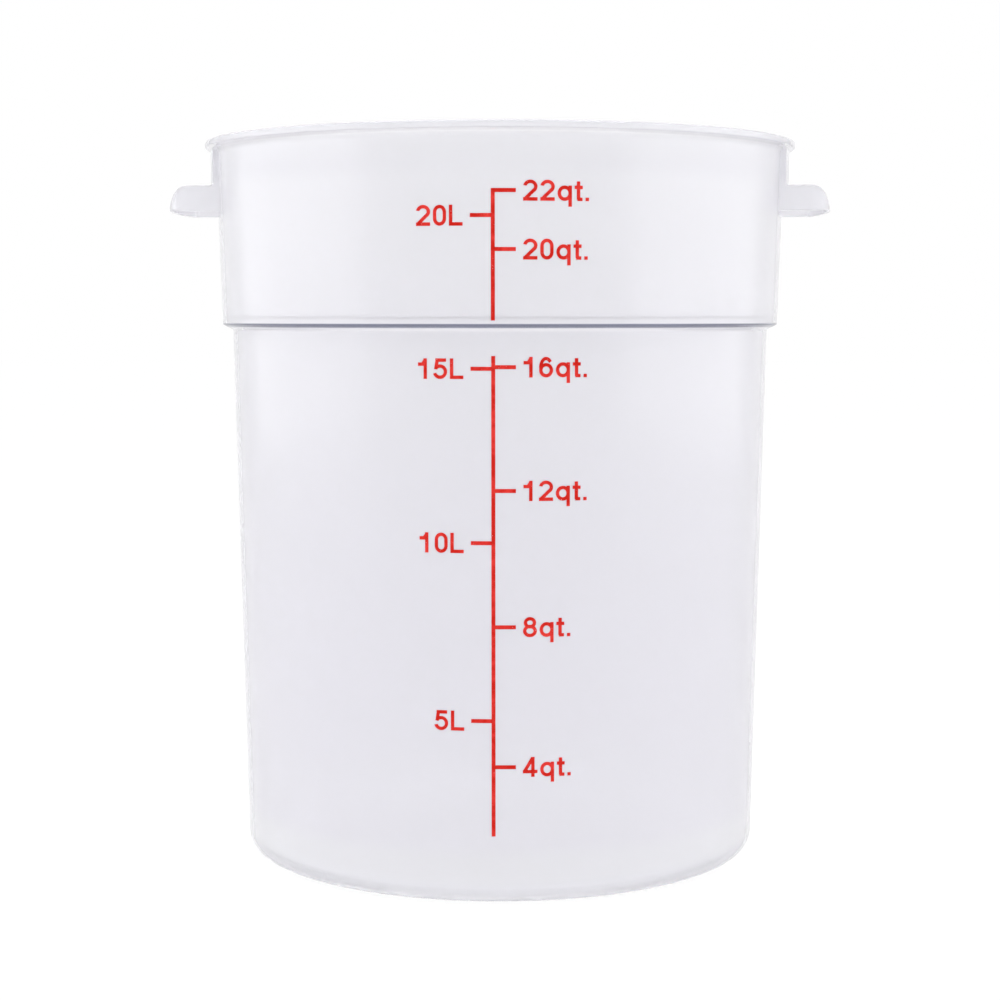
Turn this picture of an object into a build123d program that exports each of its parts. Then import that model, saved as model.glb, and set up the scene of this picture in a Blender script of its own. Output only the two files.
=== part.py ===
from build123d import *
from math import atan2, degrees, hypot
import os

# Round clear tub for proving dough: one moulding with a capacity scale printed on its front.
# Millimetres, +Z up. The origin is the middle of the foot ring, on the table.
# The printed scale faces -Y and the two lugs that serve as handles point along -X and +X.

# Tub: the barrel is the wall below the stacking ledge and the collar is the wall above it
mouth_radius = 150.9
collar_height = 95.6
collar_taper = 3.0
ledge_reach = 5.3
barrel_height = 282.4
barrel_taper = 6.7
wall = 2.5
base_thickness = 3.0
tub_height = barrel_height + collar_height
collar_foot_radius = mouth_radius - collar_taper
barrel_top_radius = collar_foot_radius - ledge_reach
barrel_foot_radius = barrel_top_radius - barrel_taper

# Stacking ledge: its underside falls inwards to the barrel, and its top inside is nearly level
ledge_drop = 2.7
ledge_rise = 3.8
ledge_fall = 0.3
ledge_edge_radius = 1.2
ledge_root_radius = 1.0
ledge_bottom = barrel_height - ledge_drop
ledge_top = barrel_height + ledge_rise

# Foot
foot_corner_radius = 11.0
foot_ring_width = 7.0
foot_recess = 1.2

# Rim: a flange that grips the lid
rim_reach = 5.5
rim_face_height = 3.4
rim_underside_drop = 1.9
rim_top_edge_radius = 1.5
rim_lower_edge_radius = 0.9
rim_mouth_edge_radius = 0.9
rim_root_radius = 0.8
rim_radius = mouth_radius + rim_reach
rim_face_bottom = tub_height - rim_face_height
rim_bottom = rim_face_bottom - rim_underside_drop

# Lugs: upturned trays moulded on the collar, hollow beneath for the fingers
lug_reach = 24.1
lug_drop = 23.5
lug_width = 76.0
lug_depth = 13.2
lug_lip_reach = 7.8
lug_corner_radius = 6.0
lug_wall = 2.0
lug_root_radius = 1.5
lug_tip_radius = mouth_radius + lug_reach
lug_lip_radius = lug_tip_radius - lug_lip_reach
lug_top = tub_height - lug_drop
lug_bottom = lug_top - lug_depth

# Pads: thicker stretches of collar between each lug and the rim
pad_rise = 2.5
pad_radius = mouth_radius + pad_rise

# Printed scale: a film of ink on the outside of the wall
ink_thickness = 0.12
line_width = 1.9
tick_width = 1.9
tick_length = 10.8
label_offset = 14.2
figure_height = 9.8
figure_stroke = 1.65
figure_gap = 1.3

# Where the scale's marks stand on the collar, as shares of its height
collar_line_foot_share = 0.0240
collar_litre_shares = {20: 0.5394}
collar_quart_shares = {22: 0.6605, 20: 0.3739}

# Where they stand on the barrel, as shares of its height
barrel_line_shares = (0.1238, 0.9487)
barrel_litre_shares = {15: 0.9272, 10: 0.6318, 5: 0.3253}
barrel_quart_shares = {16: 0.9299, 12: 0.7208, 8: 0.4877, 4: 0.2451}

# Widths of the figures, as shares of their height
figure_width_shares = {
    "0": 0.64, "1": 0.64, "2": 0.69, "4": 0.72, "5": 0.68, "6": 0.68, "8": 0.68,
    "L": 0.66, "q": 0.69, "t": 0.39, ".": 0.17,
}

# Straight strokes of each figure: start and end, as shares of the box that its centre lines fill
figure_bar_shares = {
    "0": [((0.0, 0.40), (0.0, 0.60)), ((1.0, 0.40), (1.0, 0.60))],
    "1": [((0.62, 0.0), (0.62, 1.0)), ((0.04, 0.76), (0.56, 0.76)), ((0.38, 0.80), (0.52, 0.92))],
    "2": [((0.0, 0.0), (1.0, 0.0)), ((0.10, 0.06), (0.82, 0.50))],
    "4": [((0.74, 0.0), (0.74, 1.0)), ((0.0, 0.22), (1.0, 0.22)), ((0.04, 0.28), (0.66, 0.98))],
    "5": [((0.20, 1.0), (0.90, 1.0)), ((0.10, 0.56), (0.20, 0.96))],
    "6": [],
    "8": [],
    "L": [((0.0, 0.0), (0.0, 1.0)), ((0.0, 0.0), (1.0, 0.0))],
    "q": [((1.0, -0.33), (1.0, 0.68))],
    "t": [((0.45, 0.08), (0.45, 0.92)), ((0.0, 0.68), (1.0, 0.68)), ((0.60, 0.0), (0.95, 0.0))],
    ".": [((0.0, 0.0), (0.0, 0.0))],
}

# Curved strokes of each figure: centre and radii as shares of the same box, then the start and
# the sweep as shares of a full turn, anticlockwise from the right
figure_bow_shares = {
    "0": [((0.50, 0.68), (0.50, 0.32), 0.0, 0.5), ((0.50, 0.32), (0.50, 0.32), 0.5, 0.5)],
    "1": [],
    "2": [((0.50, 0.71), (0.50, 0.29), 0.47, -0.60)],
    "4": [],
    "5": [((0.48, 0.325), (0.52, 0.325), 0.40, -0.86)],
    "6": [((0.50, 0.32), (0.50, 0.32), 0.0, 1.0), ((0.50, 0.50), (0.50, 0.50), 0.10, 0.44)],
    "8": [((0.50, 0.76), (0.43, 0.24), 0.0, 1.0), ((0.50, 0.27), (0.50, 0.27), 0.0, 1.0)],
    "L": [],
    "q": [((0.50, 0.34), (0.50, 0.34), 0.0, 1.0)],
    "t": [],
    ".": [],
}

# One overrun serves every cut and every blank that is trimmed
overrun = 5.0


def barrel_radius(height):
    """Outside radius of the wall below the ledge."""
    return barrel_foot_radius + barrel_taper * height / barrel_height


def collar_radius(height):
    """Outside radius of the wall above the ledge."""
    return collar_foot_radius + collar_taper * (height - barrel_height) / collar_height


def turned(outline):
    """Solid of revolution about Z from (radius, height, corner radius) points."""
    points = [(radius, height) for radius, height, corner in outline]
    corners = [corner for radius, height, corner in outline]
    with BuildPart() as blank:
        with BuildSketch(Plane.XZ):
            with BuildLine():
                FilletPolyline(*points, radius=corners, close=True)
            make_face()
        revolve(axis=Axis.Z)
    return blank.part


def tub_body():
    """Base, barrel, ledge, collar and rim in one turned profile, outside first."""
    ring_inside = barrel_foot_radius - foot_corner_radius - foot_ring_width
    floor = foot_recess + base_thickness
    return turned([
        (0, foot_recess, 0),
        (ring_inside - foot_recess, foot_recess, 0),
        (ring_inside, 0, 0),
        (barrel_foot_radius, 0, foot_corner_radius),
        (barrel_radius(ledge_bottom), ledge_bottom, ledge_root_radius),
        (collar_foot_radius, barrel_height, ledge_edge_radius),
        (collar_radius(rim_bottom), rim_bottom, rim_root_radius),
        (rim_radius, rim_face_bottom, rim_lower_edge_radius),
        (rim_radius, tub_height, rim_top_edge_radius),
        (mouth_radius - wall, tub_height, rim_mouth_edge_radius),
        (collar_radius(ledge_top) - wall, ledge_top, ledge_root_radius),
        (barrel_top_radius - wall, ledge_top - ledge_fall, ledge_edge_radius),
        (barrel_foot_radius - wall, floor, foot_corner_radius - wall),
        (0, floor, 0),
    ])


def lug_plan(width, tip, corner, low, high):
    """Upright block that trims a lug: straight sides, a tip concentric with the tub, round corners."""
    with BuildPart() as block:
        with BuildSketch(Plane.XY.offset(low)) as plan:
            Circle(tip)
            with Locations((tip, 0)):
                Rectangle(tip, width, mode=Mode.INTERSECT)
            fillet(plan.vertices().group_by(Axis.X)[-1], corner)
        extrude(amount=high - low)
    return block.part


def lug_solid():
    """One lug and its pad on the +X side, before the finger space is cut."""
    with BuildPart() as blank:
        with BuildSketch(Plane.XZ):
            with BuildLine():
                Line((collar_radius(lug_bottom) - wall / 2, lug_bottom), (lug_tip_radius, lug_bottom))
                EllipticalCenterArc(
                    (lug_lip_radius, lug_bottom),
                    lug_lip_reach,
                    lug_depth,
                    0,
                    arc_size=90,
                )
                FilletPolyline(
                    (lug_lip_radius, lug_top),
                    (pad_radius, lug_top),
                    (pad_radius, rim_face_bottom),
                    (collar_radius(rim_face_bottom) - wall / 2, rim_face_bottom),
                    (collar_radius(lug_bottom) - wall / 2, lug_bottom),
                    radius=[lug_root_radius, 0, 0],
                )
            make_face()
        revolve(axis=Axis.Z)
    trim = lug_plan(lug_width, lug_tip_radius, lug_corner_radius, lug_bottom, rim_face_bottom)
    return blank.part & trim


def finger_space():
    """The hollow beneath a lug, open downwards, with the collar left whole behind it."""
    mouth = lug_bottom - overrun
    ceiling = lug_top - lug_wall
    tip = lug_tip_radius - lug_wall
    with BuildPart() as blank:
        with BuildSketch(Plane.XZ):
            with BuildLine():
                Polyline(
                    (lug_lip_radius, ceiling),
                    (collar_radius(ceiling), ceiling),
                    (collar_radius(mouth), mouth),
                    (tip, mouth),
                    (tip, lug_bottom),
                )
                EllipticalCenterArc(
                    (lug_lip_radius, lug_bottom),
                    lug_lip_reach - lug_wall,
                    lug_depth - lug_wall,
                    0,
                    arc_size=90,
                )
            make_face()
        revolve(axis=Axis.Z)
    trim = lug_plan(lug_width - 2 * lug_wall, tip, lug_corner_radius - lug_wall, mouth, ceiling)
    return blank.part & trim


def container():
    """The whole moulding."""
    body = tub_body()
    for turn in (0, 180):
        body = body + lug_solid().rotate(Axis.Z, turn)
        body = body - finger_space().rotate(Axis.Z, turn)
    return body


def ink_band(radius_at, low, high):
    """Thin shell of ink on the outside of a wall, all the way round."""
    return turned([
        (radius_at(low), low, 0),
        (radius_at(low) + ink_thickness, low, 0),
        (radius_at(high) + ink_thickness, high, 0),
        (radius_at(high), high, 0),
    ])


def bar(start, end):
    """Straight stroke with square ends, about the line between two points."""
    run_x = end[0] - start[0]
    run_y = end[1] - start[1]
    stroke = Rectangle(hypot(run_x, run_y) + figure_stroke, figure_stroke)
    middle = Pos((start[0] + end[0]) / 2, (start[1] + end[1]) / 2)
    return middle * Rot(0, 0, degrees(atan2(run_y, run_x))) * stroke


def bow(spot, radius_x, radius_y, start, sweep):
    """Curved stroke about an elliptical centre line; start and sweep are parts of a turn."""
    half = figure_stroke / 2
    if sweep == 1:
        ring = Ellipse(radius_x + half, radius_y + half) - Ellipse(radius_x - half, radius_y - half)
        return Pos(*spot) * ring
    outer, inner = [
        EllipticalCenterArc(spot, radius_x + side, radius_y + side, start * 360, arc_size=sweep * 360)
        for side in (half, -half)
    ]
    return make_face([outer, Line(outer @ 0, inner @ 0), inner, Line(outer @ 1, inner @ 1)])


def figure(letter):
    """Flat outline of one figure, with its lower left corner at the origin."""
    reach_x = figure_width_shares[letter] * figure_height - figure_stroke
    reach_y = figure_height - figure_stroke
    half = figure_stroke / 2

    def spot(share):
        return (half + share[0] * reach_x, half + share[1] * reach_y)

    strokes = [bar(spot(start), spot(end)) for start, end in figure_bar_shares[letter]]
    for centre, radii, start, sweep in figure_bow_shares[letter]:
        strokes.append(bow(spot(centre), radii[0] * reach_x, radii[1] * reach_y, start, sweep))
    return Sketch() + strokes


def word_width(word):
    """Length of a row of figures with their gaps."""
    widths = [figure_width_shares[letter] * figure_height for letter in word]
    return sum(widths) + figure_gap * (len(word) - 1)


def label(word, side, height, band):
    """Row of figures beside a tick, centred on its height: side is -1 on the left, 1 on the right."""
    place = label_offset if side > 0 else -label_offset - word_width(word)
    reach = mouth_radius + overrun
    letters = []
    for letter in word:
        outline = figure(letter)
        sheet = Plane.XZ * Pos(place, height - figure_height / 2) * outline
        letters += (extrude(sheet, amount=reach) & band).solids()
        place += figure_width_shares[letter] * figure_height + figure_gap
    return Compound(children=letters)


def scale_line(ends, ticks, band):
    """Upright line and its ticks, as one film: ticks are (side, height)."""
    low, high = ends
    reach = mouth_radius + overrun
    with BuildPart() as lines:
        with BuildSketch(Plane.XZ):
            with Locations((0, (low + high) / 2)):
                Rectangle(line_width, high - low)
            for side, height in ticks:
                with Locations((side * tick_length / 2, height)):
                    Rectangle(tick_length, tick_width)
        extrude(amount=reach)
    return lines.part & band


def wall_scale(name, line_ends, litre_heights, quart_heights, band):
    """Line and figures printed on one stretch of wall, by node name."""
    ticks = [(-1, height) for height in litre_heights.values()]
    ticks += [(1, height) for height in quart_heights.values()]
    films = {f"scale_line_{name}": scale_line(line_ends, ticks, band)}
    for count, height in litre_heights.items():
        films[f"figures_{count}_litres"] = label(f"{count}L", -1, height, band)
    for count, height in quart_heights.items():
        films[f"figures_{count}_quarts"] = label(f"{count}qt.", 1, height, band)
    return films


def collar_scale():
    """Scale above the ledge, whose top tick closes its line."""
    litres = {count: barrel_height + share * collar_height for count, share in collar_litre_shares.items()}
    quarts = {count: barrel_height + share * collar_height for count, share in collar_quart_shares.items()}
    foot = barrel_height + collar_line_foot_share * collar_height
    band = ink_band(collar_radius, barrel_height + ledge_edge_radius, rim_bottom - rim_root_radius)
    return wall_scale("upper", (foot, max(quarts.values()) + tick_width / 2), litres, quarts, band)


def barrel_scale():
    """Scale below the ledge."""
    litres = {count: share * barrel_height for count, share in barrel_litre_shares.items()}
    quarts = {count: share * barrel_height for count, share in barrel_quart_shares.items()}
    ends = [share * barrel_height for share in barrel_line_shares]
    band = ink_band(barrel_radius, foot_corner_radius, ledge_bottom - ledge_root_radius)
    return wall_scale("lower", ends, litres, quarts, band)


nodes = {"container": container()} | collar_scale() | barrel_scale()
os.makedirs("parts", exist_ok=True)
for node, shape in nodes.items():
    export_step(shape, f"parts/{node}.step")
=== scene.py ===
"""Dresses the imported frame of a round, clear tub for proving dough and sets it in a plain studio.

The tub is one moulded surface worked out with numpy. The printed scale keeps the frame's own solids
and gets its ink here. Lengths are metres in the row's frame: +Z up, the scale faces -Y and the two
lugs point along -X and +X.
"""

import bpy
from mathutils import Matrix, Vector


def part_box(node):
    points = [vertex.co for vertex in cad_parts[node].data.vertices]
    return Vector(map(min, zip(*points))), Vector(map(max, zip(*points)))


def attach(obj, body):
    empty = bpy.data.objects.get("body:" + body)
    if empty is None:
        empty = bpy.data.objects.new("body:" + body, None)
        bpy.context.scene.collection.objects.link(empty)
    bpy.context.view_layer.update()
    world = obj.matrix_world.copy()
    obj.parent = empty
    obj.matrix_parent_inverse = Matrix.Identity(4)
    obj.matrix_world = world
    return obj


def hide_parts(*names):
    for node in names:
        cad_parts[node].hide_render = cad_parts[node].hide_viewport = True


bl_info = {
    "name": "Dough proofing tub",
    "version": (1, 0, 0),
    "blender": (4, 5, 0),
    "location": "3D View > Sidebar > Proofing tub",
    "description": "Builds a clear round food tub with a printed capacity scale, in a plain studio",
    "category": "Add Mesh",
}

import bmesh
import bpy
import numpy as np
from bpy.props import FloatProperty, FloatVectorProperty, PointerProperty
from mathutils import Vector

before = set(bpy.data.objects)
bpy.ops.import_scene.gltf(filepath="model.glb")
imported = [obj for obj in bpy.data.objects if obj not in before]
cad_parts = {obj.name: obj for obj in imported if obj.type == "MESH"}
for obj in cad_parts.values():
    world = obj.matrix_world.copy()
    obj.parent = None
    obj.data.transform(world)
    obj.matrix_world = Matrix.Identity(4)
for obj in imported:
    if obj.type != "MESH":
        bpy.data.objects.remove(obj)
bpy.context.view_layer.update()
tub_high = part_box("container")[1]
ink_nodes = sorted(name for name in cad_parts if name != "container")

# Small radii of the moulding. The root of the rim is rounder than the frame's, for a softer shadow.
ring_edge = 0.0006
ledge_root = 0.0010
ledge_edge = 0.0012
rim_root = 0.0030
rim_lower_edge = 0.0009
rim_top_edge = 0.0015
mouth_edge = 0.0009
lug_root = 0.0015
lug_edge = 0.0006
lug_rounding = 0.0005

# Longest steps along the section, and the least run that a root or an edge needs beside it
section_pitch = 0.014
shelf_pitch = 0.003
root_run = 0.0024
edge_run = 0.0012
fade_run = 0.0020

# Points on the arc of a main corner, of a corner of the lug zone and of a corner of the lug's hem
main_arc_points, lug_arc_points, hem_arc_points = 9, 7, 5

# Rows over a lug's shell, along its lip inside and outside, and up the pad to the rim
shell_rows = 34
inner_lip_rows, outer_lip_rows = 12, 16
pad_rows = 5

# Columns across the parts of a lug, and across the plain wall between the lugs
end_columns, rounding_columns, opening_columns, middle_columns = 9, 6, 7, 26
plain_columns = 84

# Points closer than these are one point, in a section and in the finished mesh
least_step = 1e-7
same_place = 1e-6

# Steeper than this, the edge between two faces stays sharp
sharp_angle = np.radians(32)

# Where the painted light and shade on the plastic change, in metres from the edge that it follows: start and
# end of the fade
flange_fade = (-0.0055, -0.0049)
rim_face_fade = (-0.0012, -0.0006)
lip_fade = (-0.0020, 0.0010)
ledge_low_fade = (-0.0016, -0.0009)
ledge_high_fade = (0.0010, 0.0003)
ledge_reach_fade = (0.0015, 0.0025)

# The same in shares of the tub's height, and in shares of the foot's corner radius
down_wall_fade, below_rim_fade = (0.95, 0.26), (0.925, 0.955)
near_foot_fade, heel_low_fade, heel_reach_fade = (2.9, 1.9), (1.3, 0.5), (-1.2, -0.5)

# Patterns of the surfaces: grain in cycles per metre, then detail and roughness of the noise
cloud_pattern = (7.0, 3.0, 0.5)
speck_pattern = (900.0, 2.0, 0.5)
rubbed_pattern = (260.0, 5.0, 0.7)
wave_pattern = (16.0, 1.0, 0.5)
draw_pattern = (1.0, 4.0, 0.6)
coat_pattern = (180.0, 3.0, 0.5)
mesh_pattern = (3200.0, 2.0, 0.5)
pinhole_pattern = (1500.0, 1.0, 0.5)
floor_pattern = (3.0, 3.0, 0.5)

# Values of a pattern between which its places fade in
speck_range, rubbed_range, thin_range, pinhole_range = (0.62, 0.80), (0.42, 0.72), (0.35, 0.75), (0.74, 0.80)

# Cycles per metre of the draw marks round the wall and up it, which leave their grain at 1
draw_round, draw_up = 400, 8

# Heights of the waves and draw marks in the plastic and of the screen's mesh in the ink
wave_height, draw_height, mesh_height = 0.0006, 0.00006, 0.00004

# Shares of the haze that all places have and that clouds and specks add
plain_haze, cloud_haze, speck_haze = 0.7, 0.4, 0.3

# Refractive index of the plastic
plastic_ior = 1.585

# Ink where it is thin and where a pinhole bares the plastic: share of its colour, and white added
thin_share, thin_white = 1.25, 0.03
bare_share, bare_white = 0.5, 0.35

# Strength of the ink's shine and of its relief, and how far its roughness varies
ink_specular, ink_relief, ink_gloss_spread = 0.15, 0.3, 0.2

# Darker places of the floor, as a share of its colour
floor_dim = 0.985

# Places of the lamps. The upper one points at a spot, and the side lamps point level at the axis.
upper_place, upper_target = (0.0, -0.2, 2.0), (0.0, 0.0, 0.2)
side_reach, side_ahead, side_height = 1.18, 0.08, 0.92

# How far light is followed inside the plastic, as a number of bounces
light_bounces = 128

# Width of the camera's film in millimetres
film_width = 36.0


# Properties

def length(label, default, description):
    """A length that a user can change."""
    return FloatProperty(
        name=label, description=description, default=default, min=0.0, precision=4, unit="LENGTH"
    )


def amount(label, default, description, high=1.0):
    """A plain number that a user can change."""
    return FloatProperty(
        name=label, description=description, default=default, min=0.0, max=high, precision=3
    )


def shade(label, default, description):
    """A colour that a user can change."""
    return FloatVectorProperty(
        name=label, description=description, default=default, min=0.0, max=1.0, size=3, subtype="COLOR"
    )


class TubSizes(bpy.types.PropertyGroup):
    """Sizes of the moulding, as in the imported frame."""

    height: length("Height", tub_high.z, "From the table to the top of the rim")
    mouth_radius: length("Mouth radius", 0.1509, "Outside of the collar at its top")
    collar_foot_radius: length("Collar foot radius", 0.1479, "Outside of the collar at the ledge")
    barrel_top_radius: length("Barrel top radius", 0.1426, "Outside of the barrel at the ledge")
    barrel_foot_radius: length("Barrel foot radius", 0.1359, "Outside of the barrel at the table")
    ledge_height: length("Ledge height", 0.2824, "Top of the stacking ledge above the table")
    ledge_drop: length("Ledge drop", 0.0027, "How far the underside of the ledge falls inwards")
    ledge_plate: length("Ledge plate", 0.0038, "From the ledge's outer corner up to its top, inside")
    ledge_fall: length("Ledge fall", 0.0003, "How far the top of the ledge falls inwards")
    wall: length("Wall", 0.0025, "Thickness of the side wall")
    base: length("Base", 0.0030, "Thickness of the base")
    foot_recess: length("Foot recess", 0.0012, "Height of the base above the table inside the ring")
    foot_ring: length("Foot ring", 0.0070, "Width of the ring that the tub stands on")
    foot_corner: length("Foot corner", 0.0110, "Outer radius between the base and the barrel")
    rim_radius: length("Rim radius", tub_high.y, "Outside of the rim flange")
    rim_face: length("Rim face", 0.0034, "Height of the outer face of the rim")
    rim_drop: length("Rim drop", 0.0019, "How far the underside of the rim falls inwards")
    lug_tip_radius: length("Lug tip radius", tub_high.x, "From the axis to the tip of a lug")
    lug_lip: length("Lug lip", 0.0078, "How far the rounded lip of a lug reaches out")
    lug_top: length("Lug top", 0.3545, "Height of the flat top of a lug")
    lug_depth: length("Lug depth", 0.0132, "Height of a lug")
    lug_half_width: length("Lug half width", 0.0380, "From the middle of a lug to its end face")
    lug_wall: length("Lug wall", 0.0020, "Thickness of the lug's shell over the finger space")
    lug_corner: length("Lug corner", 0.0060, "Radius of a lug's corners, seen from above")
    pad_radius: length("Pad radius", 0.1534, "Outside of the thicker wall between a lug and the rim")
    ink_clearance: length("Ink clearance", 0.00003, "How far the wall keeps behind the printed ink")


class TubFinish(bpy.types.PropertyGroup):
    """Colours and gloss of the plastic and the ink."""

    plastic: shade("Plastic", (0.960, 0.956, 0.982), "Colour that the plastic passes at each face")
    # Painted shade: a dark line along the ledge's corner, for the dark that its edge shows by refraction and
    # inner reflection
    ledge_shade: shade("Ledge shade", (0.10, 0.11, 0.18), "Colour where the eye looks along the ledge's edge")
    milkiness: amount("Milkiness", 0.42, "Share of the light that the plastic scatters at each face")
    haze: amount("Haze", 0.18, "Roughness of the moulded faces")
    scuffs: amount("Scuffs", 0.05, "How much the rubbed places stand out")
    ripple: amount("Ripple", 0.25, "Strength of the slow waves in the wall")
    ink: shade("Ink", (0.640, 0.010, 0.003), "Colour of the printed scale")
    ink_gloss: amount("Ink roughness", 0.42, "Roughness of the dry ink")


class StudioSettings(bpy.types.PropertyGroup):
    """Floor, lamps and camera."""

    floor: shade("Floor", (0.86, 0.86, 0.87), "Colour of the floor")
    backdrop: shade("Backdrop", (1.0, 1.0, 1.0), "Colour behind the object")
    glow: amount("Floor glow", 1.04, "Strength of the white that the camera sees in the floor", 4.0)
    glow_share: amount("Glow share", 0.88, "Share of that white, the rest is matt floor with its shadow")
    ambient: amount("Ambient light", 0.84, "Light from all round", 4.0)
    key: FloatProperty(name="Key lamp", description="Power of the overhead lamp", default=13.0, unit="POWER")
    side: FloatProperty(name="Side lamps", description="Power of the left lamp", default=5.4, unit="POWER")
    balance: amount("Balance", 0.86, "Power of the right lamp as a share of the left lamp's")
    lamp_size: length("Lamp size", 1.6, "Side of each square lamp")
    floor_reach: length("Floor reach", 12.0, "From the middle of the floor to its edges")
    distance: length("Camera distance", 1.1855, "From the axis of the tub to the camera")
    camera_height: length("Camera height", 0.2867, "Height of the camera above the table")
    bearing: FloatProperty(
        name="Bearing",
        description="Turn of the camera round the tub",
        default=np.radians(1.30),
        subtype="ANGLE",
    )
    pitch: FloatProperty(
        name="Pitch", description="Downward tilt of the camera", default=np.radians(4.784), subtype="ANGLE"
    )
    lens: FloatProperty(name="Lens", description="Focal length in millimetres", default=79.04, unit="CAMERA")


class ProofTub(bpy.types.PropertyGroup):
    """Everything that can be changed, in one place on the scene."""

    sizes: PointerProperty(type=TubSizes, name="Sizes")
    finish: PointerProperty(type=TubFinish, name="Finish")
    studio: PointerProperty(type=StudioSettings, name="Studio")


# Shader expressions

class Socket:
    """An output socket that takes part in Python sums: each step adds its Math node."""

    def __init__(self, finish, socket):
        self.finish = finish
        self.socket = socket

    def math(self, operation, *values):
        """Result of one Math node on sockets or plain values."""
        return self.finish.node("ShaderNodeMath", {"operation": operation}, dict(enumerate(values)))

    def __add__(self, other):
        return self.math("ADD", self, other)

    def __sub__(self, other):
        return self.math("SUBTRACT", self, other)

    def __rsub__(self, other):
        return self.math("SUBTRACT", other, self)

    def __mul__(self, other):
        return self.math("MULTIPLY", self, other)

    def __pow__(self, other):
        return self.math("POWER", self, other)

    __radd__ = __add__
    __rmul__ = __mul__


class Finish:
    """The emptied node tree of a material or of the world, filled by expressions."""

    def __init__(self, owner):
        owner.use_nodes = True
        self.tree = owner.node_tree
        self.tree.nodes.clear()

    def node(self, kind, settings=None, inputs=None, output=0):
        """Adds a node: its settings first, then the values or links of its sockets."""
        made = self.tree.nodes.new(kind)
        for name, value in (settings or {}).items():
            setattr(made, name, value)
        for name, value in (inputs or {}).items():
            if isinstance(value, Socket):
                self.tree.links.new(value.socket, made.inputs[name])
            else:
                made.inputs[name].default_value = value
        return Socket(self, made.outputs[output]) if made.outputs else made

    def noise(self, vector, scale, detail, roughness):
        """Soft cloudy pattern from 0 to 1."""
        return self.node(
            "ShaderNodeTexNoise",
            {"noise_dimensions": "3D"},
            {"Vector": vector, "Scale": scale, "Detail": detail, "Roughness": roughness},
        )

    def step(self, value, low, high):
        """Smooth rise from 0 to 1 as the value goes from low to high."""
        return self.node(
            "ShaderNodeMapRange",
            {"interpolation_type": "SMOOTHSTEP"},
            {"Value": value, "From Min": low, "From Max": high},
        )

    def fade(self, value, edge, run, unit=1.0):
        """Smooth rise over a run that is given from an edge, in a unit of length."""
        return self.step(value, edge + run[0] * unit, edge + run[1] * unit)

    def blend(self, factor, first, second):
        """Colour between two colours. The node takes them at its sockets 6 and 7 and gives it at 2."""
        colours = {0: factor, 6: first, 7: second}
        return self.node("ShaderNodeMix", {"data_type": "RGBA"}, colours, 2)

    def surface(self, shader):
        """Closes the tree with its output."""
        self.node("ShaderNodeOutputMaterial", {}, {"Surface": shader})


def colour(value):
    """A colour with its alpha, which is full."""
    return (*value, 1.0)


def tinted(plastic, shares):
    """The plastic's colour with each channel multiplied by its share."""
    return colour([min(1.0, channel * share) for channel, share in zip(plastic, shares)])


def tint_with_painted_light(look, sizes, finish, z, reach):
    """Colour of the plastic, with light and shade painted in by height and distance from the axis.

    Painted shade darkens it down the wall, below the rim, at the heel and on the rim's outer face. It is
    darkest along the ledge's corner, where the eye looks through the plastic edge on: a painted dark line
    for what the edge shows by refraction and inner reflection, with a little of the deeper tint of thicker
    plastic. Painted light keeps the foot, the rim's underside and the lips of the lugs lighter. Each zone
    fades in between two heights or distances.
    """
    height, corner, ledge = sizes.height, sizes.foot_corner, sizes.ledge_height
    foot, shelf, rim = sizes.barrel_foot_radius, sizes.barrel_top_radius, sizes.rim_radius
    lip = sizes.lug_tip_radius - sizes.lug_lip
    down_wall = look.fade(z, 0, down_wall_fade, height)
    below_rim = look.fade(z, 0, below_rim_fade, height)
    near_foot = look.fade(z, 0, near_foot_fade, corner)
    heel = look.fade(z, 0, heel_low_fade, corner) * look.fade(reach, foot, heel_reach_fade, corner)
    flange = look.fade(z, height, flange_fade)
    lips = look.fade(reach, lip, lip_fade)
    rim_face = flange * look.fade(reach, rim, rim_face_fade)
    ledge_shade_line = look.fade(z, ledge, ledge_low_fade) * look.fade(z, ledge, ledge_high_fade)
    ledge_shade_line = ledge_shade_line * look.fade(reach, shelf, ledge_reach_fade)
    # Painted shade deepens the low wall, the band below the rim, the heel and the rim's face; painted light
    # lifts the foot, the rim flange and the lugs' lips
    painted_zones = (
        (down_wall, (0.992, 0.988, 1.000)),
        (below_rim, (0.960, 0.960, 0.968)),
        (near_foot, (1.010, 1.012, 1.008)),
        (heel, (0.970, 0.970, 0.980)),
        (flange, (1.030, 1.030, 1.018)),
        (lips, (1.018, 1.018, 1.018)),
        (rim_face, (0.930, 0.930, 0.945)),
    )
    tint = colour(finish.plastic)
    for zone, shares in painted_zones:
        tint = look.blend(zone, tint, tinted(finish.plastic, shares))
    # A painted dark line along the ledge's corner, with a little of the deeper tint of thicker plastic
    return look.blend(ledge_shade_line, tint, colour(finish.ledge_shade))


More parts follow.
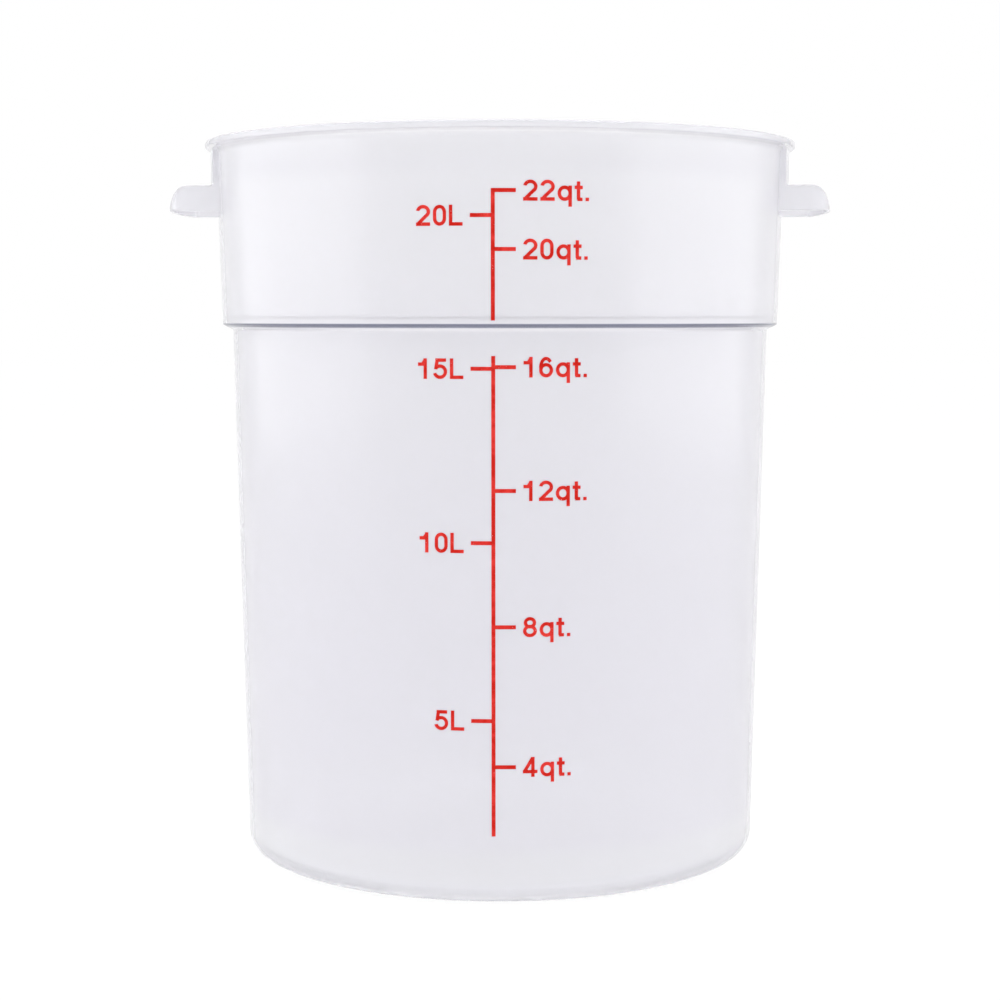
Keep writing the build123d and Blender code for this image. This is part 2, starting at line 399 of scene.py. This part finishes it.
def clear_plastic(sizes, finish):
    """Moulded plastic: a little milky, rippled, with fine upright draw marks and rubbed places, and light
    and shade painted into its colour.
    """
    material = bpy.data.materials.new("clear_plastic")
    look = Finish(material)
    place = look.node("ShaderNodeTexCoord", output="Object")
    x, y, z = (look.node("ShaderNodeSeparateXYZ", {}, {0: place}, axis) for axis in range(3))
    reach = (x * x + y * y) ** 0.5
    draw_axes = {0: x * draw_round, 1: y * draw_round, 2: z * draw_up}
    draw_marks = look.noise(look.node("ShaderNodeCombineXYZ", {}, draw_axes), *draw_pattern)
    clouds = look.noise(place, *cloud_pattern)
    specks = look.step(look.noise(place, *speck_pattern), *speck_range)
    rubbed = look.step(look.noise(place, *rubbed_pattern), *rubbed_range)
    waves = look.noise(place, *wave_pattern) * wave_height + draw_marks * draw_height
    haze = finish.haze * (plain_haze + clouds * cloud_haze + specks * speck_haze)
    normal = look.node(
        "ShaderNodeBump", {}, {"Strength": finish.ripple, "Distance": 1.0, "Height": waves}
    )
    look.surface(look.node(
        "ShaderNodeBsdfPrincipled",
        {},
        {
            "Base Color": tint_with_painted_light(look, sizes, finish, z, reach),
            "Roughness": haze + rubbed * finish.scuffs,
            "Normal": normal,
            "IOR": plastic_ior,
            "Transmission Weight": 1 - finish.milkiness,
        },
    ))
    return material


def red_ink(finish):
    """Screen-printed ink: satin, a little uneven in strength, with a fine mesh grain and pinholes."""
    material = bpy.data.materials.new("red_ink")
    look = Finish(material)
    place = look.node("ShaderNodeTexCoord", output="Object")
    strength = look.noise(place, *coat_pattern)
    relief = look.noise(place, *mesh_pattern) * mesh_height
    pinholes = look.step(look.noise(place, *pinhole_pattern), *pinhole_range)
    thin = [min(1.0, channel * thin_share + thin_white) for channel in finish.ink]
    bare = [channel * bare_share + bare_white for channel in finish.ink]
    coat = look.blend(look.step(strength, *thin_range), colour(finish.ink), colour(thin))
    base = look.blend(pinholes, coat, colour(bare))
    normal = look.node(
        "ShaderNodeBump", {}, {"Strength": ink_relief, "Distance": 1.0, "Height": relief}
    )
    look.surface(look.node(
        "ShaderNodeBsdfPrincipled",
        {},
        {
            "Base Color": base,
            "Roughness": finish.ink_gloss + (strength - 0.5) * ink_gloss_spread,
            "Normal": normal,
            "Specular IOR Level": ink_specular,
        },
    ))
    return material


# Surfaces

def rounded(corners, points=lug_arc_points):
    """Path through (radius, height, corner radius) points, with an arc in place of each inner corner.

    An arc's middle lies on the bisector of its corner, at the corner radius over the sine of half
    the angle between the two sides, and its points swing evenly from one side to the other.
    """
    corners = np.array(corners, float)
    spot, radius = corners[:, :2], corners[1:-1, 2]
    back = spot[:-2] - spot[1:-1]
    on = spot[2:] - spot[1:-1]
    back /= np.linalg.norm(back, axis=1, keepdims=True)
    on /= np.linalg.norm(on, axis=1, keepdims=True)
    inwards = (back + on) / np.linalg.norm(back + on, axis=1, keepdims=True)
    along = (on - back) / np.linalg.norm(on - back, axis=1, keepdims=True)
    half = np.arccos(np.clip((back * on).sum(axis=1), -1, 1)) / 2
    swing = (np.pi / 2 - half)[:, None] * np.linspace(-1, 1, points)
    middle = spot[1:-1] + inwards * (radius / np.sin(half))[:, None]
    arcs = middle[:, None] + radius[:, None, None] * (
        np.sin(swing)[..., None] * along[:, None] - np.cos(swing)[..., None] * inwards[:, None]
    )
    path = np.vstack([spot[:1], arcs.reshape(-1, 2), spot[-1:]])
    moved = np.linalg.norm(np.diff(path, axis=0), axis=1) > least_step
    return path[np.append(True, moved)]


def length_along(path):
    """Length of a path up to each of its points."""
    return np.append(0, np.cumsum(np.linalg.norm(np.diff(path, axis=0), axis=1)))


def path_at(path, run, stations):
    """Points of a path at given lengths, on the straight line between its two nearest points."""
    return np.column_stack([np.interp(stations, run, path[:, axis]) for axis in (0, 1)])


def evened(path, step):
    """The same path with points added along its straight stretches, at even steps of its length."""
    run = length_along(path)
    return path_at(path, run, np.union1d(run, np.arange(0, run[-1], step)))


def spaced(path, count):
    """A given number of points at even steps of a path's length."""
    run = length_along(path)
    return path_at(path, run, np.linspace(0, run[-1], count))


def quarter(centre, reach, rise, start, end, count):
    """Arc of an ellipse: centre plus reach times cosine and rise times sine of an even sweep."""
    sweep = np.linspace(start, end, count)
    return np.column_stack([centre[0] + reach * np.cos(sweep), centre[1] + rise * np.sin(sweep)])


def half_width(radius, half, tip, corner):
    """Half the width of a lug at a distance from the axis.

    The sides are straight. The corner is an arc whose middle is the corner radius inside both the
    side and the tip, so a point of it follows from its distance to the axis by the cosine rule.
    """
    reach, side = tip - corner, half - corner
    share = (radius**2 - reach**2 - corner**2) / (2 * corner * reach)
    angle = np.arcsin(side / reach) + np.arccos(np.clip(share, -1, 1))
    return side + corner * np.sin(np.minimum(angle, np.pi / 2))


class Section:
    """The tub's section in three runs: below the lugs, the lug zone in its three forms, and above.

    The forms of the lug zone are the bare wall, the solid end of a lug and the hollow lug. They have
    the same number of rows, so that one can turn into the next row by row.
    """

    def __init__(self, sizes):
        self.sizes = sizes
        self.lug_bottom = sizes.lug_top - sizes.lug_depth
        self.shelf_end = sizes.lug_top + 3 * lug_root
        self.rim_corner = sizes.height - sizes.rim_face
        self.rim_root = self.rim_corner - sizes.rim_drop
        self.low = self.below_lugs()
        arch, flat = self.lug_shell()
        hem, solid_hem = self.lug_hem()
        outside, under_rim = self.lug_outside(), self.under_rim()
        pad = self.pad_face(under_rim)
        self.solid = np.vstack([flat, solid_hem, outside, pad])
        self.hollow = np.vstack([arch, hem, outside, pad])
        self.bare = self.bare_wall(len(pad), under_rim)
        self.arch_rows = np.arange(len(self.solid)) < len(arch)
        self.high = self.above_lugs()

    def barrel(self, height):
        """Outside radius of the lower wall, just behind the ink."""
        sizes = self.sizes
        widen = (sizes.barrel_top_radius - sizes.barrel_foot_radius) / sizes.ledge_height
        return sizes.barrel_foot_radius + widen * height - sizes.ink_clearance

    def collar(self, height):
        """Outside radius of the upper wall, just behind the ink."""
        sizes = self.sizes
        widen = (sizes.mouth_radius - sizes.collar_foot_radius) / (sizes.height - sizes.ledge_height)
        return sizes.collar_foot_radius + widen * (height - sizes.ledge_height) - sizes.ink_clearance

    def below_lugs(self):
        """Outside from the middle of the base to the foot of the lug zone."""
        sizes = self.sizes
        ring_inside = sizes.barrel_foot_radius - sizes.foot_corner - sizes.foot_ring
        ledge_bottom = sizes.ledge_height - sizes.ledge_drop
        return evened(rounded([
            (0, sizes.foot_recess, 0),
            (ring_inside - sizes.foot_recess, sizes.foot_recess, ring_edge),
            (ring_inside, 0, ring_edge),
            (self.barrel(0), 0, sizes.foot_corner),
            (self.barrel(ledge_bottom), ledge_bottom, ledge_root),
            (self.collar(sizes.ledge_height), sizes.ledge_height, ledge_edge),
            (self.collar(self.lug_bottom), self.lug_bottom, 0),
        ], main_arc_points), section_pitch)

    def lug_shell(self):
        """Rows over the finger space, and the flat rows that close it in a solid end.

        Above the finger space the lip is a quarter ellipse that ends where the hem's rounding starts,
        at the arc sine of the rounding over the ellipse's rise.
        """
        sizes = self.sizes
        low, high, wall = self.lug_bottom, sizes.lug_top - sizes.lug_wall, sizes.lug_wall
        tip, lip = sizes.lug_tip_radius, sizes.lug_tip_radius - sizes.lug_lip
        reach, rise = sizes.lug_lip - wall, sizes.lug_depth - wall
        foot = (self.collar(low), low)
        side = rounded([(*foot, 0), (self.collar(high), high, ledge_root), (lip, high, 0)])
        curve = quarter((lip, low), reach, rise, np.pi / 2, np.arcsin(lug_edge / rise), inner_lip_rows)
        arch = spaced(np.vstack([side, curve[1:]]), shell_rows)
        return arch, np.linspace(foot, (tip - wall, low), shell_rows)

    def lug_hem(self):
        """Rows round the lower edge of the lip, and the same with a flat floor, in a solid end."""
        low, tip, wall = self.lug_bottom, self.sizes.lug_tip_radius, self.sizes.lug_wall
        hem = rounded([
            (tip - wall, low + lug_edge, 0),
            (tip - wall, low, lug_edge),
            (tip, low, lug_edge),
            (tip, low + lug_edge, 0),
        ], hem_arc_points)[1:]
        return hem, np.where((hem[:, :1] < tip - wall / 2) & [[False, True]], low, hem)

    def lug_outside(self):
        """Rows from the hem up the lip, a quarter ellipse, and along the lug's top to the pad."""
        sizes = self.sizes
        low, top, reach, rise = self.lug_bottom, sizes.lug_top, sizes.lug_lip, sizes.lug_depth
        lip, pad = sizes.lug_tip_radius - sizes.lug_lip, sizes.pad_radius
        curve = quarter((lip, low), reach, rise, np.arcsin(lug_edge / rise), np.pi / 2, outer_lip_rows)
        shelf = rounded([(lip, top, 0), (pad, top, lug_root), (pad, self.shelf_end, 0)])
        return np.vstack([curve[1:], evened(shelf, shelf_pitch)[1:]])

    def under_rim(self):
        """Rows from the bare wall round the root of the rim to where a pad meets its underside."""
        sizes = self.sizes
        root_radius, root_foot = self.collar(self.rim_root), self.rim_root - root_run
        slope = sizes.rim_drop / (sizes.rim_radius - root_radius)
        under = self.rim_root + slope * (sizes.pad_radius - root_radius)
        return rounded([
            (self.collar(root_foot), root_foot, 0),
            (root_radius, self.rim_root, rim_root),
            (sizes.pad_radius, under, 0),
        ])

    def pad_face(self, under_rim):
        """Rows up a pad, of which the upper ones pair with the rows round the root of the rim."""
        radius, under = under_rim[-1]
        climb = np.linspace((radius, self.shelf_end), (radius, under - edge_run), pad_rows + 1)[1:]
        return np.vstack([climb, np.linspace(climb[-1], (radius, under), len(under_rim))[1:]])

    def bare_wall(self, pad_count, under_rim):
        """Rows up the plain wall, as many as the other two forms have.

        They are even beside the lug, then level with the rounding between its top and the pad, then
        even up to the root of the rim, and last they follow that root.
        """
        low, top = self.lug_bottom, self.sizes.lug_top
        heights = self.solid[:-pad_count, 1]
        on_shelf = np.flatnonzero(heights > top - same_place)
        flat_end = on_shelf[np.argmin(np.abs(self.solid[on_shelf, 0] - self.sizes.pad_radius - lug_root))]
        heights = np.concatenate([
            np.linspace(low, top, flat_end + 1),
            heights[flat_end + 1:],
            np.linspace(self.shelf_end, under_rim[0, 1], pad_rows + 1)[1:],
        ])
        return np.vstack([np.column_stack([self.collar(heights), heights]), under_rim[1:]])

    def above_lugs(self):
        """From the rim's underside over the rim and down inside to the middle of the floor."""
        sizes = self.sizes
        wall, floor = sizes.wall, sizes.foot_recess + sizes.base
        ledge_top = sizes.ledge_height + sizes.ledge_plate
        return evened(rounded([
            (*self.solid[-1], 0),
            (sizes.rim_radius, self.rim_corner, rim_lower_edge),
            (sizes.rim_radius, sizes.height, rim_top_edge),
            (sizes.mouth_radius - wall, sizes.height, mouth_edge),
            (self.collar(ledge_top) - wall, ledge_top, ledge_root),
            (sizes.barrel_top_radius - wall, ledge_top - sizes.ledge_fall, ledge_edge),
            (sizes.barrel_foot_radius - wall, floor, sizes.foot_corner - wall),
            (0, floor, 0),
        ], main_arc_points), section_pitch)[1:]


def lug_columns(sizes):
    """Columns across one lug, from one end face to the other.

    Returns four arrays: place across the lug as a share of its half width, how far the column has
    left the bare wall, how far it has opened from the solid end to the hollow, and the depth of the
    rounding, a quarter circle that meets the end face.
    """
    half, wall = sizes.lug_half_width, sizes.lug_wall
    swing = np.linspace(0, np.pi / 2, rounding_columns)
    depth = np.append(lug_rounding * (1 - np.cos(swing)), (lug_rounding + wall) / 2)
    inset = lug_rounding - np.sqrt(lug_rounding**2 - np.clip(lug_rounding - depth, 0, None)**2)
    leaving = np.linspace(0, 1, end_columns)[:-1]
    opening = np.linspace(0, 1, opening_columns)
    at_end, in_wall = np.full(len(leaving), half), np.full(len(opening), half - wall)
    place = np.concatenate([at_end, half - depth, in_wall]) / half
    out = np.concatenate([leaving, np.ones(len(depth) + len(opening))])
    hollow = np.concatenate([np.zeros(len(leaving) + len(depth)), opening])
    round_off = np.concatenate([np.full(len(leaving), lug_rounding), inset, np.zeros(len(opening))])
    across = np.linspace(1 - wall / half, wall / half - 1, middle_columns)[1:-1]
    ones = np.ones_like(across)
    return (
        -np.concatenate([place, across, -place[::-1]]),
        np.concatenate([out, ones, out[::-1]]),
        np.concatenate([hollow, ones, hollow[::-1]]),
        np.concatenate([round_off, 0 * ones, round_off[::-1]]),
    )


def lug_zone(section, place, out, hollow, round_off):
    """Radius, height and half width of the lug zone on a grid of rows and columns.

    Each point goes from the bare wall to the solid section, moved inwards along its normal by the
    rounding, and from there to the hollow section, by the two shares of its column.
    """
    sizes = section.sizes
    along = np.gradient(section.solid, axis=0)
    along /= np.linalg.norm(along, axis=1, keepdims=True)
    inwards = np.column_stack([-along[:, 1], along[:, 0]])
    free = np.clip((section.solid[:, 0] - section.bare[:, 0]) / fade_run, 0, 1)
    free *= np.clip((section.solid[-1, 1] - section.solid[:, 1]) / fade_run, 0, 1)
    solid = section.solid[:, None] + (inwards * free[:, None])[:, None] * round_off[None, :, None]
    bare = section.bare[:, None]
    spot = bare + out[None, :, None] * (solid - bare)
    spot = spot + hollow[None, :, None] * (section.hollow[:, None] - solid)
    radius = spot[..., 0]
    half, wall = sizes.lug_half_width, sizes.lug_wall
    outer = half_width(radius, half, sizes.lug_tip_radius, sizes.lug_corner)
    inner = half_width(radius, half - wall, sizes.lug_tip_radius - wall, sizes.lug_corner - wall)
    inside = section.arch_rows[:, None] * hollow[None]
    width = outer + inside * (inner * half / (half - wall) - outer)
    return radius, spot[..., 1], width


def tub_grid(sizes):
    """The tub's points on a closed grid: rows run up the outside, over the rim and down inside.

    Columns go round. A column across a lug keeps its distance from the lug's middle plane, so a
    point lies at that distance and at the square root of what is left of its radius squared. The
    columns between the lugs go round evenly in angle. The second half of the turn is the first half
    turned by half a circle.
    """
    section = Section(sizes)
    place, out, hollow, round_off = lug_columns(sizes)
    zone_radius, zone_height, zone_width = lug_zone(section, place, out, hollow, round_off)
    ones = np.ones(len(place))
    radius = np.vstack([section.low[:-1, :1] * ones, zone_radius, section.high[:, :1] * ones])
    height = np.vstack([section.low[:-1, 1:] * ones, zone_height, section.high[:, 1:] * ones])
    width = np.full_like(radius, sizes.lug_half_width)
    width[len(section.low) - 1:][:len(zone_width)] = zone_width
    least = section.collar(section.lug_bottom)
    turn = np.arcsin(place * width / np.maximum(radius, least))
    bare = np.vstack([section.low[:-1], section.bare, section.high])
    start = np.arcsin(sizes.lug_half_width / np.maximum(bare[:, :1], least))
    share = np.linspace(0, 1, plain_columns + 2)[1:-1]
    turn = np.hstack([turn, start + (np.pi - 2 * start) * share])
    radius = np.hstack([radius, np.repeat(bare[:, :1], plain_columns, axis=1)])
    height = np.hstack([height, np.repeat(bare[:, 1:], plain_columns, axis=1)])
    x, y = radius * np.cos(turn), radius * np.sin(turn)
    return np.stack([np.hstack([x, -x]), np.hstack([y, -y]), np.hstack([height, height])], axis=-1)


def grid_mesh(name, grid):
    """Mesh of a grid that is closed round its columns and whose first and last rows are one point."""
    rows, columns = grid.shape[:2]
    index = 1 + np.arange((rows - 2) * columns).reshape(rows - 2, columns)
    onwards = np.roll(index, -1, axis=1)
    last = (rows - 2) * columns + 1
    points = np.vstack([grid[:1, 0], grid[1:-1].reshape(-1, 3), grid[-1:, 0]])
    quads = np.stack([index[:-1], onwards[:-1], onwards[1:], index[1:]], axis=-1).reshape(-1, 4)
    first_fan = np.stack([np.zeros_like(index[0]), onwards[0], index[0]], axis=-1)
    last_fan = np.stack([index[-1], onwards[-1], np.full_like(index[-1], last)], axis=-1)
    mesh = bpy.data.meshes.new(name)
    mesh.from_pydata(points.tolist(), [], quads.tolist() + first_fan.tolist() + last_fan.tolist())
    shell = bmesh.new()
    shell.from_mesh(mesh)
    bmesh.ops.remove_doubles(shell, verts=shell.verts, dist=same_place)
    open_edges = [edge for edge in shell.edges if len(edge.link_faces) != 2]
    if open_edges:
        raise ValueError(f"{name} has {len(open_edges)} edges that do not join two faces")
    if shell.calc_volume(signed=True) < 0:
        bmesh.ops.reverse_faces(shell, faces=shell.faces)
    shell.to_mesh(mesh)
    shell.free()
    mesh.shade_smooth()
    mesh.set_sharp_from_angle(angle=sharp_angle)
    return mesh


def place_piece(name, mesh, material):
    """Object at the origin that holds a finished mesh."""
    piece = bpy.data.objects.new(name, mesh)
    mesh.materials.append(material)
    bpy.context.scene.collection.objects.link(piece)
    return piece


# Operators

class OBJECT_OT_mould_proof_tub(bpy.types.Operator):
    """Build the clear tub with its ledge, rim and lugs"""

    bl_idname = "object.mould_proof_tub"
    bl_label = "Mould tub"

    def execute(self, context):
        settings = context.scene.proof_tub
        mesh = grid_mesh("clear_tub", tub_grid(settings.sizes))
        tub = place_piece("clear_tub", mesh, clear_plastic(settings.sizes, settings.finish))
        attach(tub, "root")
        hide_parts("container")
        return {"FINISHED"}


class OBJECT_OT_print_tub_scale(bpy.types.Operator):
    """Give the printed lines and figures their ink"""

    bl_idname = "object.print_tub_scale"
    bl_label = "Print scale"

    def execute(self, context):
        ink = red_ink(context.scene.proof_tub.finish)
        for name in ink_nodes:
            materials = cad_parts[name].data.materials
            materials.clear()
            materials.append(ink)
        return {"FINISHED"}


def floor_finish(studio):
    """Pale matt floor that the camera and the clear plastic see nearly white, shadow kept."""
    material = bpy.data.materials.new("pale_floor")
    look = Finish(material)
    mottle = look.noise(look.node("ShaderNodeTexCoord", output="Object"), *floor_pattern)
    dim = [channel * floor_dim for channel in studio.floor]
    cover = look.blend(mottle, colour(studio.floor), colour(dim))
    matt = look.node("ShaderNodeBsdfDiffuse", {}, {"Color": cover})
    white = {"Color": colour(studio.backdrop), "Strength": studio.glow}
    glow = look.node("ShaderNodeEmission", {}, white)
    seen = seen_directly(look) * studio.glow_share
    look.surface(look.node("ShaderNodeMixShader", {}, {0: seen, 1: matt, 2: glow}))
    return material


def seen_directly(look):
    """1 for rays of the camera and for mirrored or refracted rays, and 0 for the rest."""
    camera, glossy, transmission = (
        look.node("ShaderNodeLightPath", output=f"Is {kind} Ray")
        for kind in ("Camera", "Glossy", "Transmission")
    )
    return camera.math("MAXIMUM", camera.math("MAXIMUM", camera, glossy), transmission)


def set_world(studio):
    """White backdrop for what is seen directly, and a plain even light for the rest."""
    world = bpy.data.worlds.new("studio")
    bpy.context.scene.world = world
    look = Finish(world)
    ambient = look.node("ShaderNodeBackground", {}, {"Color": (1, 1, 1, 1), "Strength": studio.ambient})
    white = look.node("ShaderNodeBackground", {}, {"Color": colour(studio.backdrop), "Strength": 1.0})
    mixed = look.node("ShaderNodeMixShader", {}, {0: seen_directly(look), 1: ambient, 2: white})
    look.node("ShaderNodeOutputWorld", {}, {"Surface": mixed})


def soft_lamp(name, power, size, place, target):
    """Square area lamp that points at a spot."""
    light = bpy.data.lights.new(name, "AREA")
    light.energy = power
    light.size = size
    lamp = bpy.data.objects.new(name, light)
    lamp.location = place
    lamp.rotation_euler = (Vector(target) - Vector(place)).to_track_quat("-Z", "Y").to_euler()
    bpy.context.scene.collection.objects.link(lamp)


def set_camera(studio):
    """Camera at the photograph's distance, height and tilt."""
    lens = bpy.data.cameras.new("camera")
    lens.lens = studio.lens
    lens.sensor_width = film_width
    camera = bpy.data.objects.new("camera", lens)
    aside, ahead = np.sin(studio.bearing), np.cos(studio.bearing)
    camera.location = (studio.distance * aside, -studio.distance * ahead, studio.camera_height)
    level = np.cos(studio.pitch)
    look = Vector((-aside * level, ahead * level, -np.sin(studio.pitch)))
    camera.rotation_euler = look.to_track_quat("-Z", "Y").to_euler()
    bpy.context.scene.collection.objects.link(camera)
    bpy.context.scene.camera = camera


class SCENE_OT_set_tub_studio(bpy.types.Operator):
    """Lay the floor, hang the lamps and place the camera"""

    bl_idname = "scene.set_tub_studio"
    bl_label = "Set studio"

    def execute(self, context):
        studio = context.scene.proof_tub.studio
        reach = studio.floor_reach
        mesh = bpy.data.meshes.new("floor")
        corners = [(-reach, -reach, 0), (reach, -reach, 0), (reach, reach, 0), (-reach, reach, 0)]
        mesh.from_pydata(corners, [], [(0, 1, 2, 3)])
        place_piece("floor", mesh, floor_finish(studio))
        set_world(studio)
        level = (0, 0, side_height)
        lamps = (
            ("lamp_above", studio.key, upper_place, upper_target),
            ("lamp_left", studio.side, (-side_reach, -side_ahead, side_height), level),
            ("lamp_right", studio.side * studio.balance, (side_reach, -side_ahead, side_height), level),
        )
        for name, power, place, target in lamps:
            soft_lamp(name, power, studio.lamp_size, place, target)
        set_camera(studio)
        context.scene.view_settings.view_transform = "Standard"
        paths = context.scene.cycles
        paths.max_bounces = paths.transmission_bounces = paths.glossy_bounces = light_bounces
        paths.blur_glossy = 0.0
        return {"FINISHED"}


class VIEW3D_PT_proof_tub(bpy.types.Panel):
    """Lists the sizes, the finish, the studio and the steps that build them"""

    bl_label = "Proofing tub"
    bl_idname = "VIEW3D_PT_proof_tub"
    bl_space_type = "VIEW_3D"
    bl_region_type = "UI"
    bl_category = "Proofing tub"

    def draw(self, context):
        settings = context.scene.proof_tub
        for group in (settings.sizes, settings.finish, settings.studio):
            box = self.layout.box()
            for name in group.__annotations__:
                box.prop(group, name)
        for step in build_steps:
            self.layout.operator(step.bl_idname)


build_steps = (OBJECT_OT_mould_proof_tub, OBJECT_OT_print_tub_scale, SCENE_OT_set_tub_studio)
classes = (TubSizes, TubFinish, StudioSettings, ProofTub, *build_steps, VIEW3D_PT_proof_tub)


def register():
    for each in classes:
        bpy.utils.register_class(each)
    bpy.types.Scene.proof_tub = PointerProperty(type=ProofTub)


def unregister():
    del bpy.types.Scene.proof_tub
    for each in reversed(classes):
        bpy.utils.unregister_class(each)


def main():
    """Registers the add-on and builds the tub in its studio."""
    register()
    bpy.ops.object.mould_proof_tub()
    bpy.ops.object.print_tub_scale()
    bpy.ops.scene.set_tub_studio()


if __name__ == "__main__":
    main()
